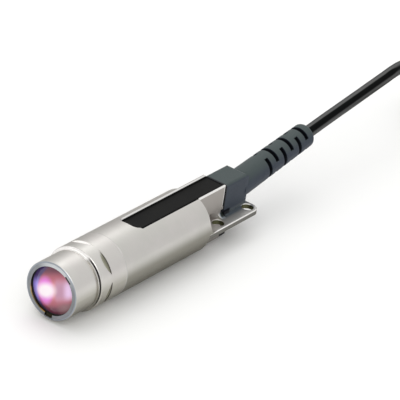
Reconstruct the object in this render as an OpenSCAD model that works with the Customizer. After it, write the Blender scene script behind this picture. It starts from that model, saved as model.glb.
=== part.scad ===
// Confocal displacement sensor head, pen type, with fibre cable and plug.
// The head lies on its round barrel. The optical axis runs along Y and the lens looks toward -Y.
// The origin is under the middle of the head, on the surface that it lies on.

/* [Barrel] */
// Outside diameter of the round barrel
barrel_d = 12; // [11:0.1:16]
// From the lens end to the joint between front barrel and housing
joint_y = 13.5; // [13.2:0.1:16.5]
// From the lens end to where the round barrel stops
barrel_len = 38; // [37:0.1:48]
// Bevel on the turned outer edges
edge_bevel = 0.12; // [0.05:0.01:0.2]
// Bevel on the two edges that meet at the joint
joint_bevel = 0.04; // [0.02:0.01:0.15]

/* [Nose] */
// How far the nose is set in from the barrel surface
nose_step = 0.55; // [0.4:0.05:0.8]
// Length of the plain nose
nose_len = 5.85; // [4:0.05:6.5]
// Width of the small collar behind the nose, and of the groove behind that
collar_w = 0.25; // [0.15:0.05:0.4]
// Height of the collar above the nose
collar_h = 0.25; // [0.1:0.05:0.35]
// Thickness of the lip around the retaining ring
lip_wall = 0.3; // [0.25:0.05:0.5]

/* [Spanner notches] */
// Number of notches around the front barrel
notch_count = 6; // [4:1:8]
// From the lens end to the square rear wall of a notch
notch_y = 9.38; // [8:0.1:11]
// Width of a notch along the barrel
notch_w = 1.1; // [0.6:0.05:1.4]
// Depth of a notch at its rear wall
notch_depth = 0.52; // [0.2:0.02:0.6]

/* [Front optics] */
// Thickness of the retaining ring
ring_thick = 0.45; // [0.4:0.05:0.9]
// Radial width of the retaining ring
ring_w = 0.63; // [0.5:0.01:0.9]
// Thickness of the rubber seal in front of the first lens
seal_d = 0.25; // [0.2:0.05:0.4]
// Radial wall between the lenses and the nose surface
lens_wall = 0.73; // [0.6:0.01:1]
// Edge thicknesses of the four objective lenses, front to rear
lens_edge = [2.1, 2, 1.4, 1.5];
// Thicknesses of the three spacer rings, front to rear
spacer_thick = [1.2, 1.8, 1.65];
// Radial width of a spacer ring
spacer_w = 0.7; // [0.5:0.05:1]
// How far the middle of the front lens stays behind the lens end
front_lens_inset = 0.05; // [0:0.01:0.3]
// How far the second lens is hollowed out on each face
second_lens_hollow = 0.5; // [0.3:0.05:0.7]
// How far the third lens bulges on each face
third_lens_bulge = 0.75; // [0.5:0.05:0.8]
// How far the fourth lens bulges in front of its rim
fourth_lens_bulge = 0.5; // [0.3:0.05:0.6]

/* [Screwed joint] */
// Length of the spigot that screws into the housing
spigot_len = 5; // [4:0.1:7]
// Radial wall outside the spigot
spigot_wall = 0.8; // [0.7:0.05:1.1]
// Cord thickness of the O-ring on the spigot
o_ring_d = 0.55; // [0.4:0.05:0.7]

/* [Relay optics] */
// Radial wall of the housing around the relay tube
housing_wall = 2; // [1.9:0.05:2.6]
// Radial wall of the relay tube
relay_wall = 0.68; // [0.5:0.02:0.9]
// Thickness of the ring that locks the relay tube
lock_thick = 1.5; // [1:0.1:2]
// Thickness of the solid end wall behind the relay tube
end_wall = 2; // [1.8:0.1:3]
// Edge thickness of the diffractive lens
diffractive_edge = 1.4; // [1:0.1:2]
// Edge thickness of each collimator lens
collimator_edge = 1.8; // [1.4:0.1:2.4]
// How far the front collimator lens bulges in front of its rim
collimator_front_bulge = 0.5; // [0.3:0.05:0.7]
// How far the rear collimator lens bulges in front of its rim
collimator_rear_bulge = 0.4; // [0.3:0.05:0.7]

/* [Rear housing] */
// Width of the flat block behind the barrel
block_w = 5; // [4.6:0.1:7]
// Length of the flat block behind the round barrel
block_len = 8.35; // [8.2:0.05:12]
// Length of the label
label_len = 25.6; // [20:0.1:30]
// Width of the label
label_w = 3.6; // [3:0.1:4.4]
// Depth of the label face below the top of the barrel
label_drop = 1; // [0.8:0.02:1.2]
// Thickness of the label
label_thick = 0.3; // [0.2:0.05:0.5]
// Radius of the label's two front corners
label_corner = 1; // [0.4:0.1:1.4]
// How much wider the channel gets, on each side, for each millimetre above the label
channel_flare = 0.72; // [0.3:0.02:1]
// Depth of the bevel along the block's top edges and its rear edges
block_bevel = 0.15; // [0.05:0.01:0.2]

/* [Mounting plate] */
// Length of the plate behind the round barrel
plate_len = 16.45; // [16.2:0.05:21]
// Thickness of the plate
plate_thick = 1; // [0.8:0.05:1.5]
// Height of the plate's upper face below the optical axis
plate_drop = 0.96; // [0.6:0.02:1.2]
// Diameter of the four screw holes
hole_d = 2.2; // [1.6:0.05:2.4]
// Metal between a hole and the side of the block
hole_inset = 0.05; // [0.02:0.01:0.4]
// Distance between the holes along the plate
hole_gap_y = 9.05; // [8:0.05:9.5]
// From a hole's centre to the plate's side and rear edges
hole_edge = 1.75; // [1.6:0.05:2.4]
// Radius of the plate's rear corners
plate_corner = 1.7; // [1:0.1:2.2]
// Bevel along the plate's upper edges
plate_bevel = 0.16; // [0.05:0.01:0.25]
// Bevel at both ends of a screw hole
hole_bevel = 0.12; // [0.05:0.01:0.2]

/* [Cable boot] */
// Length of the boot block
boot_len = 7.2; // [6.8:0.05:8]
// Depth of the boot block's top below the top of the barrel
boot_drop = 0.9; // [0.6:0.02:1.1]
// Diameter of the relief at the boot block
relief_d = 5.2; // [4.6:0.1:6]
// Diameter of the relief at its tip
relief_tip_d = 4.7; // [4.2:0.1:5.4]
// Length of the relief behind the boot block
relief_len = 21.41; // [18:0.01:26]
// How far the relief rises from the optical axis, in degrees
relief_tilt = 8.5; // [0:0.5:12]
// Gap between the plate and the relief, at the rear face of the boot block
relief_gap = 0.13; // [0.05:0.01:0.8]
// Number of slot pairs in the relief
relief_slots = 6; // [4:1:7]
// Distance from one slot pair to the next
slot_pitch = 2.32; // [2:0.02:2.8]
// Width of a slot in the relief
slot_w = 0.95; // [0.6:0.05:1.2]
// Half of the angle that a slot covers
slot_half_angle = 66; // [40:1:75]

/* [Fibre] */
// Diameter of the ceramic ferrule in the head
ferrule_d = 1.25; // [1.2:0.05:1.8]
// Outside diameter of the brass ferrule holder
holder_d = 3.44; // [3:0.02:3.8]
// Diameter of the buffered fibre
fibre_d = 0.9; // [0.6:0.05:1]
// Diameter of the set screw that locks the ferrule holder
set_screw_d = 1.6; // [1.2:0.1:2]

/* [Cable] */
// Outside diameter of the fibre cable
cable_d = 2.4; // [2:0.1:2.6]
// Turns of the stored coil
coil_turns = 2.5; // [1.5:1:3.5]
// Radius of the first turn, at the middle of the cable
coil_start_r = 10.8; // [10:0.1:13]

/* [Plug] */
// Outside diameter of the plug body
plug_d = 5.6; // [5:0.1:7]
// Length of the plug body
plug_len = 11; // [9:0.5:15]
// Length of the plug's rubber sleeve
plug_boot_len = 9.5; // [8:0.5:14]
// Diameter of the plug's ferrule
plug_ferrule_d = 2.5; // [2:0.1:3]
// How far the plug's ferrule stands out of its body
plug_ferrule_out = 2; // [1:0.1:4]

/* [Hidden] */

// Sides of every true round
$fn = 96;
// Slack between two turned parts that slide together, on the radius
fit = 0.02;
// How far a cutter runs past the face that it cuts
past = 0.5;

barrel_r = barrel_d / 2;
nose_r = barrel_r - nose_step;
shoulder_y = nose_len + 2 * collar_w;
ring_r = nose_r - lip_wall - fit;
ring_hole_r = ring_r - ring_w;
lens_r = nose_r - lens_wall - fit;
front_lens_bulge = ring_thick + seal_d - front_lens_inset;
ring_notch_deep = 0.6 * ring_thick;

// Places of the objective lenses and spacers along the axis
lens_1_y = ring_thick + seal_d;
spacer_1_y = lens_1_y + lens_edge[0];
lens_2_y = spacer_1_y + spacer_thick[0];
spacer_2_y = lens_2_y + lens_edge[1];
lens_3_y = spacer_2_y + spacer_thick[1];
spacer_3_y = lens_3_y + lens_edge[2];
lens_4_y = spacer_3_y + spacer_thick[2];
stack_end_y = lens_4_y + lens_edge[3];

// Spigot, O-ring groove and the bore that they screw into
spigot_r = barrel_r - spigot_wall;
spigot_end_y = joint_y + spigot_len;
groove_y = joint_y + 0.7;
groove_w = 1.35 * o_ring_d;
groove_r = spigot_r - o_ring_d;
front_exit_r = groove_r - 0.75;

// Relay tube and what it holds, packed from its rear shoulder toward the front
housing_bore_r = barrel_r - housing_wall;
relay_r = housing_bore_r - fit;
relay_hole_r = relay_r - relay_wall;
relay_lens_r = relay_hole_r - fit;
relay_end_y = barrel_len - end_wall;
relay_shoulder = 1.2;
relay_front_y = spigot_end_y + fit + lock_thick;
relay_recess = 1.4;
relay_ring_thick = 1.2;
relay_spacer_w = 0.6;
collimator_gap = 1.8;
rear_lens_y = relay_end_y - relay_shoulder - collimator_edge;
front_lens_y = rear_lens_y - collimator_gap - collimator_edge;
diffractive_y = relay_front_y + relay_recess + relay_ring_thick;

// Label channel and rear block
block_y = barrel_len + block_len;
label_start_y = block_y - label_len;
label_face_z = barrel_r - label_drop;
channel_z = label_face_z - label_thick;
edge_round = 0.5;

// Mounting plate
plate_y = barrel_len + plate_len;
plate_top_z = -plate_drop;
plate_bottom_z = plate_top_z - plate_thick;
hole_gap_x = block_w + hole_d + 2 * hole_inset;
plate_w = hole_gap_x + 2 * hole_edge;
hole_rear_y = plate_y - hole_edge;
hole_front_y = hole_rear_y - hole_gap_y;
pocket_round = 3;
block_fillet = 1.1;
spotface_r = hole_d / 2 + 0.55;

// Boot block, foot, ear and tab
boot_y = block_y + boot_len;
boot_top = barrel_r - boot_drop;
tab_len = 1.9;
tab_w = block_w - 0.1;
foot_w = block_w + 0.8;
foot_h = 0.8;
ear_len = 0.65;
ear_h = 0.55;
ear_w = 0.45;
boot_round = 0.9;
boot_side_round = 0.6;
foot_round = 0.35;

// Relief, with its axis just high enough to clear the plate, then cable bore and crimp
relief_z = plate_top_z + relief_gap + relief_d / 2 / cos(relief_tilt);
relief_sink = 0.6;
slot_first = 7.45;
relief_core_r = cable_d / 2 + 0.36;
bore_r = cable_d / 2 + 0.05;
crimp_back = 1.5;
crimp_len = 4.5;
crimp_wall = 0.38;
crimp_r = bore_r + crimp_wall;

// Ferrule group in the end wall and block
holder_r = holder_d / 2;
holder_y = relay_end_y + 0.6;
holder_len = 8;
ferrule_len = 7;
ferrule_y = holder_y - 1;
set_screw_y = holder_y + 4;
set_screw_len = 2.1;

// The head is shifted so that the origin is under its middle
head_len = boot_y + relief_len * cos(relief_tilt) + relief_tip_d / 2 * sin(relief_tilt);
head_mid_y = head_len / 2;

// The cable's free route from the boot to the coil, and from the coil to the plug
lead_points = [[0, 14.6, 7.59], [0, 20, 8.4], [0, 26, 9.29], [0, 32, 10.19], [0, 38, 11.09],
    [0, 44, 11.95], [0, 50, 12.77], [0, 56, 13.54], [0, 61, 14.15], [0, 66, 14.8], [0, 69, 14.9], [0, 72, 14.1],
    [0, 75, 12.6], [0, 77.3, 10.4], [0, 78.9, 8], [0, 80.4, 5.7], [0, 82, 4.1]];
tail_points = [[27.6, 80, 1.2], [27.6, 78, 1.2], [27.6, 75, 1.5], [27.6, 72, 2], [27.6, 69, 2.5],
    [27.6, 66, 2.8], [27.6, 60, 2.8]];
coil_center = [10.8, 89.3];
coil_end_r = coil_start_r + coil_turns * cable_d;
cable_sides = 8;

// Plug: where its cable end is, and the spigot on which its rubber sleeve sits
plug_at = [27.6, 66.5, 2.8];
plug_spigot_r = bore_r + 0.5;
plug_spigot_len = 3;
plug_cup_r = plug_ferrule_d / 2 + 0.95;
plug_cup_y = 3;
plug_grooves = 5;

// Every head part is drawn along the optical axis from the lens end, then set down here
module in_head() {
    translate([0, -head_mid_y, barrel_r]) children();
}

// A turned shape from points of radius and distance behind the lens end
module turned(points) {
    rotate([-90, 0, 0]) rotate_extrude() polygon(points);
}

// A plain ring between two distances behind the lens end
module ring(outer, inner, from, to) {
    turned([[inner, from], [outer, from], [outer, to], [inner, to]]);
}

// A plain round bar between two distances behind the lens end
module bar(radius, from, to) {
    translate([0, from, 0]) rotate([-90, 0, 0]) cylinder(r = radius, h = to - from);
}

// A rubber ring of round section
module seal_ring(middle_r, section_d, at) {
    translate([0, at, 0]) rotate([-90, 0, 0]) rotate_extrude()
        translate([middle_r, 0]) circle(d = section_d, $fn = 24);
}

// A ball whose surface crosses the axis at a distance behind the lens end
module surface_ball(radius, at, centre_side) {
    translate([0, at + centre_side * radius, 0]) sphere(r = radius);
}

// Things drawn at the relief's axis: Z runs along it, measured from the rear of the boot block
module on_relief() {
    translate([0, boot_y, relief_z]) rotate([-90 + relief_tilt, 0, 0]) children();
}

// Radius of a ball's surface that stands out by a height inside a round rim
function cap_radius(height, rim_r) = (rim_r * rim_r + height * height) / (2 * height);

// Front barrel, with the nose, the spanner notches and the threaded spigot

module front_barrel() {
    color([0.80, 0.79, 0.76]) in_head() difference() {
        turned([
            [ring_r + fit, 0], [nose_r - edge_bevel, 0], [nose_r, edge_bevel], [nose_r, nose_len],
            [nose_r + collar_h, nose_len], [nose_r + collar_h, nose_len + collar_w],
            [nose_r, nose_len + collar_w], [nose_r, shoulder_y], [barrel_r - edge_bevel, shoulder_y],
            [barrel_r, shoulder_y + edge_bevel], [barrel_r, joint_y - joint_bevel],
            [barrel_r - joint_bevel, joint_y], [spigot_r, joint_y], [spigot_r, groove_y],
            [groove_r, groove_y], [groove_r, groove_y + groove_w], [spigot_r, groove_y + groove_w],
            [spigot_r, spigot_end_y - edge_bevel], [spigot_r - edge_bevel, spigot_end_y],
            [front_exit_r, spigot_end_y], [front_exit_r, stack_end_y], [lens_r + fit, stack_end_y],
            [lens_r + fit, ring_thick], [ring_r + fit, ring_thick]]);
        for (i = [0:notch_count - 1])
            rotate([0, -(360 / notch_count * i - 15), 0]) spanner_notch();
    }
}

// One notch cutter at the +X side: a square rear wall and a floor that runs out toward the lens
module spanner_notch() {
    run = notch_w / notch_depth;
    translate([0, 0, -barrel_r]) linear_extrude(barrel_d) polygon([
        [barrel_r - notch_depth, notch_y], [barrel_r + past, notch_y],
        [barrel_r + past, notch_y - notch_w - past * run]]);
}

// Retaining ring, with a wide notch at the bottom and a narrow one at the top right

module lens_retaining_ring() {
    color([0.62, 0.65, 0.69]) in_head() difference() {
        ring(ring_r, ring_hole_r, 0, ring_thick);
        rotate([0, 90, 0]) ring_notch(1.65, ring_w + past);
        rotate([0, -48, 0]) ring_notch(1.5, ring_w / 2);
    }
}

module ring_notch(width, depth) {
    translate([ring_hole_r - past, -past, -width / 2])
        cube([depth + past, past + ring_notch_deep, width]);
}

module front_lens_seal() {
    color([0.08, 0.08, 0.09]) in_head() seal_ring(lens_r - seal_d / 2, seal_d, ring_thick + seal_d / 2);
}

// Lenses and spacers of the objective

// A lens with a flat rear face and a front face that bulges inside its rim
module bulged_lens(outer_r, rim_w, bulge, from, edge) {
    rim_r = outer_r - rim_w;
    bar(outer_r, from, from + edge);
    intersection() {
        surface_ball(cap_radius(bulge, rim_r), from - bulge, 1);
        bar(rim_r, from - 2 * bulge, from + edge);
    }
}

module front_lens() {
    color([0.75, 0.55, 0.80, 0.8]) in_head()
        bulged_lens(lens_r, seal_d, front_lens_bulge, lens_1_y, lens_edge[0]);
}

module front_spacer() {
    color([0.12, 0.12, 0.13]) in_head() ring(lens_r, lens_r - spacer_w, spacer_1_y, lens_2_y);
}

module second_lens() {
    radius = cap_radius(second_lens_hollow, lens_r - spacer_w);
    color([0.70, 0.75, 0.85, 0.7]) in_head() difference() {
        bar(lens_r, lens_2_y, spacer_2_y);
        surface_ball(radius, lens_2_y + second_lens_hollow, -1);
        surface_ball(radius, spacer_2_y - second_lens_hollow, 1);
    }
}

module middle_spacer() {
    color([0.12, 0.12, 0.13]) in_head() ring(lens_r, lens_r - spacer_w, spacer_2_y, lens_3_y);
}

module third_lens() {
    rim_r = lens_r - spacer_w;
    radius = cap_radius(third_lens_bulge, rim_r);
    color([0.70, 0.75, 0.85, 0.7]) in_head() {
        bar(lens_r, lens_3_y, spacer_3_y);
        intersection() {
            surface_ball(radius, lens_3_y - third_lens_bulge, 1);
            surface_ball(radius, spacer_3_y + third_lens_bulge, -1);
            bar(rim_r, lens_3_y - 2 * third_lens_bulge, spacer_3_y + 2 * third_lens_bulge);
        }
    }
}

module rear_spacer() {
    color([0.12, 0.12, 0.13]) in_head() ring(lens_r, lens_r - spacer_w, spacer_3_y, lens_4_y);
}

module fourth_lens() {
    color([0.70, 0.75, 0.85, 0.7]) in_head()
        bulged_lens(lens_r, spacer_w, fourth_lens_bulge, lens_4_y, lens_edge[3]);
}

module barrel_o_ring() {
    color([0.08, 0.08, 0.09]) in_head()
        seal_ring(groove_r + o_ring_d / 2, o_ring_d, groove_y + groove_w / 2);
}

// Housing: round barrel, flat rear block with the label channel, and mounting plate, in one piece

module housing() {
    color([0.78, 0.76, 0.73]) in_head() difference() {
        housing_outside();
        bar(spigot_r + fit, joint_y - past, spigot_end_y + fit);
        bar(housing_bore_r, joint_y, relay_end_y);
        bar(holder_r + fit, relay_end_y - past, block_y + past);
        set_screw_hole();
        label_channel();
        boot_window();
        for (side = [0, 1]) mirror([side, 0, 0]) {
            translate([hole_gap_x / 2, 0, 0]) {
                screw_hole(hole_front_y);
                screw_hole(hole_rear_y);
                translate([0, hole_front_y, plate_top_z]) cylinder(r = spotface_r, h = block_fillet + past);
            }
            block_bevels();
            plate_bevels();
        }
    }
}

// The round bar that the housing is cut from, with the seam of its surface clear of the label channel
module housing_outside() {
    difference() {
        rotate([0, -22.5, 0]) turned([[0, joint_y], [barrel_r - joint_bevel, joint_y],
            [barrel_r, joint_y + joint_bevel], [barrel_r, plate_y + past], [0, plate_y + past]]);
        for (side = [0, 1]) mirror([side, 0, 0]) {
            upper_pocket();
            lower_pocket();
            plate_side();
        }
        behind_block();
        plate_rear();
    }
}

// The space beside the block and above the plate, with rounded inner corners
module upper_pocket() {
    high = barrel_r + past - plate_top_z;
    long = plate_y + 2 * past - barrel_len;
    wide = barrel_r + past - block_w / 2;
    intersection() {
        translate([block_w / 2, plate_y + 2 * past, plate_top_z]) rotate([90, 0, 0])
            linear_extrude(long) rounded_corner(wide, high, block_fillet);
        translate([block_w / 2, barrel_len, plate_top_z]) rotate([90, 0, 90])
            linear_extrude(wide) rounded_corner(long, high, pocket_round);
    }
}

// A rectangle from the origin whose corner at the origin is round
module rounded_corner(across, up, radius) {
    translate([radius, 0]) square([across - radius, up]);
    translate([0, radius]) square([across, up - radius]);
    translate([radius, radius]) circle(r = radius);
}

// The space beside the block and below the plate
module lower_pocket() {
    translate([block_w / 2, barrel_len, -barrel_r - past])
        cube([barrel_r, plate_y + 2 * past - barrel_len, barrel_r + past + plate_bottom_z]);
}

// What lies outside the plate's straight side
module plate_side() {
    translate([plate_w / 2, barrel_len, plate_bottom_z - past])
        cube([barrel_r, plate_y + 2 * past - barrel_len, plate_thick + 2 * past]);
}

// Everything behind the block except the plate, with the block's top rear edge rounded
module behind_block() {
    long = plate_y + 2 * past - block_y;
    translate([-barrel_r, block_y, plate_top_z]) cube([barrel_d, long, barrel_r + past - plate_top_z]);
    translate([-barrel_r, block_y, -barrel_r - past])
        cube([barrel_d, long, barrel_r + past + plate_bottom_z]);
    rise = sqrt(barrel_r * barrel_r - block_w * block_w / 4);
    translate([-barrel_r, block_y, rise]) rotate([0, 90, 0]) linear_extrude(barrel_d) difference() {
        translate([-past - edge_round, -edge_round]) square(past + 2 * edge_round);
        translate([edge_round, -edge_round]) circle(r = edge_round);
        translate([edge_round, -2 * edge_round]) square([edge_round + past, 2 * edge_round]);
        translate([-past - edge_round, -2 * edge_round])
            square([past + 2 * edge_round, edge_round]);
    }
}

// The plate's rear edge, with its two round corners
module plate_rear() {
    translate([0, 0, plate_bottom_z - past]) linear_extrude(plate_thick + 2 * past) difference() {
        translate([-barrel_r - past, plate_y - plate_corner])
            square([barrel_d + 2 * past, plate_corner + 2 * past]);
        for (side = [-1, 1])
            translate([side * (plate_w / 2 - plate_corner), plate_y - plate_corner])
                circle(r = plate_corner);
        translate([-plate_w / 2 + plate_corner, plate_y - plate_corner - past])
            square([plate_w - 2 * plate_corner, plate_corner + past]);
    }
}

// A screw hole through the plate, bevelled at both ends
module screw_hole(at_y) {
    r = hole_d / 2;
    translate([0, at_y, 0]) rotate_extrude() polygon([[0, plate_bottom_z - fit],
        [r + hole_bevel + fit, plate_bottom_z - fit], [r, plate_bottom_z + hole_bevel],
        [r, plate_top_z - hole_bevel], [r + hole_bevel + fit, plate_top_z + fit],
        [0, plate_top_z + fit]]);
}

// What the bevels take off the block's top edge and its rear edge, on one side, twice as long as deep
module block_bevels() {
    side_x = block_w / 2;
    top_x = side_x - block_bevel;
    top_z = sqrt(barrel_r * barrel_r - top_x * top_x);
    drop = 2 * block_bevel;
    side_z = sqrt(barrel_r * barrel_r - side_x * side_x) - drop;
    low_z = plate_top_z + foot_h + ear_h + past;
    translate([0, block_y + past, 0]) rotate([90, 0, 0]) linear_extrude(block_len + past)
        polygon([[side_x, side_z], [side_x + past, side_z], [side_x + past, top_z + past],
            [top_x - (side_x - top_x) * past / (top_z - side_z), top_z + past]]);
    translate([0, 0, low_z]) linear_extrude(barrel_r) polygon([[side_x, block_y - drop],
        [side_x + past, block_y - drop], [side_x + past, block_y + past],
        [top_x - past / 2, block_y + past]]);
}

// What the bevel takes off the plate's upper edge, on one side, round the corner and along half the rear
module plate_bevels() {
    side_x = plate_w / 2;
    from = barrel_len + pocket_round;
    reach = plate_bevel + past;
    translate([side_x, plate_y - plate_corner, plate_top_z]) rotate([90, 0, 0])
        linear_extrude(plate_y - plate_corner - from)
            polygon([[-reach, past], [past, past], [past, -reach]]);
    translate([-past, plate_y, plate_top_z]) rotate([90, 0, 90])
        linear_extrude(side_x - plate_corner + past)
            polygon([[-reach, past], [past, past], [past, -reach]]);
    translate([side_x - plate_corner, plate_y - plate_corner, plate_top_z]) rotate_extrude(angle = 90)
        polygon([[plate_corner - reach, past], [plate_corner + past, past],
            [plate_corner + past, -reach]]);
}

// The channel in which the label lies, flared above the label, with round front corners
module label_channel() {
    wide = label_w / 2 + fit;
    inner = label_w / 2 - label_corner;
    round_r = label_corner + fit;
    round_y = label_start_y + label_corner;
    end_y = block_y + past;
    up = label_drop + past;
    spread = up * channel_flare;
    translate([0, 0, channel_z]) linear_extrude(label_thick) label_outline(fit, label_len + past);
    translate([0, end_y, label_face_z]) rotate([90, 0, 0]) linear_extrude(end_y - round_y)
        polygon([[-wide, 0], [wide, 0], [wide + spread, up], [-wide - spread, up]]);
    translate([-inner, 0, label_face_z]) rotate([90, 0, 90]) linear_extrude(2 * inner)
        polygon([[label_start_y - fit, 0], [round_y, 0], [round_y, up],
            [label_start_y - fit - spread, up]]);
    for (side = [-1, 1])
        translate([side * inner, round_y, label_face_z])
            cylinder(r1 = round_r, r2 = round_r + spread, h = up);
}

// The label's outline with two round front corners, grown by a slack on every side but the rear
module label_outline(slack, long) {
    wide = label_w / 2 + slack;
    inner = label_w / 2 - label_corner;
    translate([-wide, label_start_y + label_corner]) square([2 * wide, long - label_corner]);
    translate([-inner, label_start_y - slack]) square([2 * inner, label_corner + slack]);
    for (side = [-1, 1])
        translate([side * inner, label_start_y + label_corner]) circle(r = label_corner + slack);
}

// The window in the plate for the boot's tab, and the two corner cuts for its ears
module boot_window() {
    translate([-tab_w / 2 - fit, block_y, plate_bottom_z - past])
        cube([tab_w + 2 * fit, tab_len + 2 * fit, plate_thick + 2 * past]);
    for (side = [0, 1]) mirror([side, 0, 0])
        translate([block_w / 2 - ear_w - fit, block_y - ear_len - fit, plate_top_z + foot_h - fit])
            cube([ear_w + past, ear_len + past, ear_h + 2 * fit]);
}

module set_screw_hole() {
    translate([0, set_screw_y, 0]) cylinder(d = set_screw_d + 2 * fit, h = barrel_r);
}

// Relay tube group

module relay_lock_ring() {
    hole_r = relay_r - 0.8;
    color([0.72, 0.71, 0.69]) in_head() difference() {
        ring(relay_r, hole_r, relay_front_y - lock_thick, relay_front_y);
        translate([-barrel_r, relay_front_y - lock_thick - past, -0.5]) cube([barrel_d, past + 0.6, 1]);
    }
}

module relay_tube() {
    color([0.20, 0.20, 0.21]) in_head() {
        turned([[relay_hole_r, relay_front_y], [relay_r, relay_front_y], [relay_r, relay_end_y],
            [relay_hole_r - 0.9, relay_end_y], [relay_hole_r - 0.9, relay_end_y - relay_shoulder],
            [relay_hole_r, relay_end_y - relay_shoulder]]);
    }
}

module relay_retaining_ring() {
    color([0.20, 0.20, 0.21]) in_head() difference() {
        ring(relay_lens_r, relay_lens_r - 0.7, diffractive_y - relay_ring_thick, diffractive_y);
        translate([-barrel_r, diffractive_y - relay_ring_thick - past, -0.4])
            cube([barrel_d, past + 0.5, 0.8]);
    }
}

// A flat disc whose front face carries shallow stepped rings
module diffractive_lens() {
    rings = 4;
    step_h = 0.06;
    zone_r = relay_lens_r - 0.9;
    color([0.72, 0.80, 0.86, 0.7]) in_head() difference() {
        bar(relay_lens_r, diffractive_y, diffractive_y + diffractive_edge);
        for (i = [1:rings]) {
            outer = zone_r * sqrt(i / rings);
            inner = zone_r * sqrt((i - 0.5) / rings);
            ring(outer, inner, diffractive_y - past, diffractive_y + step_h);
        }
    }
}

module diffractive_spacer() {
    color([0.12, 0.12, 0.13]) in_head()
        ring(relay_lens_r, relay_lens_r - relay_spacer_w, diffractive_y + diffractive_edge, front_lens_y);
}

module collimator_front_lens() {
    color([0.70, 0.75, 0.85, 0.7]) in_head()
        bulged_lens(relay_lens_r, relay_spacer_w, collimator_front_bulge, front_lens_y, collimator_edge);
}

module collimator_spacer() {
    color([0.12, 0.12, 0.13]) in_head()
        ring(relay_lens_r, relay_lens_r - relay_spacer_w, front_lens_y + collimator_edge, rear_lens_y);
}

module collimator_rear_lens() {
    color([0.70, 0.75, 0.85, 0.7]) in_head()
        bulged_lens(relay_lens_r, relay_spacer_w, collimator_rear_bulge, rear_lens_y, collimator_edge);
}

// Fibre end: ferrule, holder, set screw and buffered fibre

module fibre_ferrule() {
    tip = 0.12;
    r = ferrule_d / 2;
    color([0.95, 0.94, 0.90]) in_head() turned([[0, ferrule_y], [r - tip, ferrule_y],
        [r, ferrule_y + tip], [r, ferrule_y + ferrule_len], [0, ferrule_y + ferrule_len]]);
}

module ferrule_holder() {
    color([0.78, 0.64, 0.35]) in_head() difference() {
        bar(holder_r, holder_y, holder_y + holder_len);
        bar(ferrule_d / 2 + fit, holder_y - past, ferrule_y + ferrule_len + fit);
        bar(fibre_d / 2 + 3 * fit, holder_y, holder_y + holder_len + past);
    }
}

module holder_set_screw() {
    socket_d = 0.7;
    from = holder_r + fit;
    color([0.30, 0.30, 0.31]) in_head() translate([0, set_screw_y, from]) difference() {
        cylinder(d = set_screw_d, h = set_screw_len);
        translate([0, 0, set_screw_len - 0.8]) cylinder(d = socket_d, h = 0.8 + past, $fn = 6);
    }
}

// The fibre runs straight out of the ferrule, then rises to the cable's axis
module buffered_fibre() {
    start_y = ferrule_y + ferrule_len + fit;
    low_y = block_y + 0.8;
    end_s = -crimp_back + fit;
    end_y = boot_y + end_s * cos(relief_tilt);
    end_z = relief_z + end_s * sin(relief_tilt);
    steps = 8;
    rise = [for (i = [0:steps]) let (t = i / steps)
        [0, low_y + (end_y - low_y) * t, end_z * (3 * t * t - 2 * t * t * t)]];
    color([0.95, 0.85, 0.35]) in_head()
        swept_tube(concat([[0, start_y, 0]], rise), fibre_d / 2);
}

module label_plate() {
    color([0.13, 0.13, 0.13]) in_head() translate([0, 0, channel_z])
        linear_extrude(label_thick) label_outline(0, label_len - fit);
}

// Cable boot: a block that stands on the plate, and a slotted relief for the cable

module cable_boot() {
    color([0.27, 0.31, 0.35]) in_head() difference() {
        union() {
            boot_block();
            on_relief() relief_body();
            boot_foot();
        }
        on_relief() {
            translate([0, 0, -crimp_back]) cylinder(r = bore_r, h = relief_len + crimp_back + past);
            translate([0, 0, -crimp_back]) cylinder(r = crimp_r + fit, h = crimp_len);
            for (i = [0:relief_slots - 1])
                translate([0, 0, slot_first + i * slot_pitch]) relief_slot_pair(i % 2 == 0 ? 0 : 90);
        }
        fibre_channel();
    }
}

// The block of the boot, with its top rear edge and its long top edges rounded
module boot_block() {
    high = boot_top - plate_top_z;
    long = boot_y - block_y - fit;
    side = block_w / 2;
    intersection() {
        translate([-side, block_y + fit, plate_top_z]) rotate([90, 0, 90]) linear_extrude(block_w) {
            square([long, high - boot_round]);
            square([long - boot_round, high]);
            translate([long - boot_round, high - boot_round]) circle(r = boot_round);
        }
        translate([0, boot_y + past, plate_top_z]) rotate([90, 0, 0]) linear_extrude(long + 2 * past)
            round_topped(side, -past, high, boot_side_round);
    }
}

// A rectangle over the Y axis whose two far corners are round
module round_topped(half, from, to, radius) {
    translate([-half, from]) square([2 * half, to - radius - from]);
    translate([radius - half, from]) square([2 * (half - radius), to - from]);
    for (side = [-1, 1])
        translate([side * (half - radius), to - radius]) circle(r = radius);
}

// The part of the boot that clips into the plate and the block
module boot_foot() {
    translate([0, 0, plate_top_z]) linear_extrude(foot_h)
        round_topped(foot_w / 2, block_y + fit, block_y + fit + tab_len, foot_round);
    translate([-tab_w / 2, block_y + fit, -barrel_r + 0.6])
        cube([tab_w, tab_len, barrel_r - 0.6 + plate_top_z + past]);
    for (side = [0, 1]) mirror([side, 0, 0])
        translate([block_w / 2 - ear_w, block_y - ear_len, plate_top_z + foot_h])
            cube([ear_w, ear_len + past, ear_h]);
}

// The tapered relief with a rounded tip, drawn along Z
module relief_body() {
    tip = 0.7;
    r1 = relief_d / 2;
    r2 = relief_tip_d / 2;
    rotate_extrude() {
        polygon([[0, -relief_sink], [r1, -relief_sink], [r1, 0], [r2, relief_len - tip],
            [r2 - tip, relief_len], [0, relief_len]]);
        translate([r2 - tip, relief_len - tip]) circle(r = tip, $fn = 48);
    }
}

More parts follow.
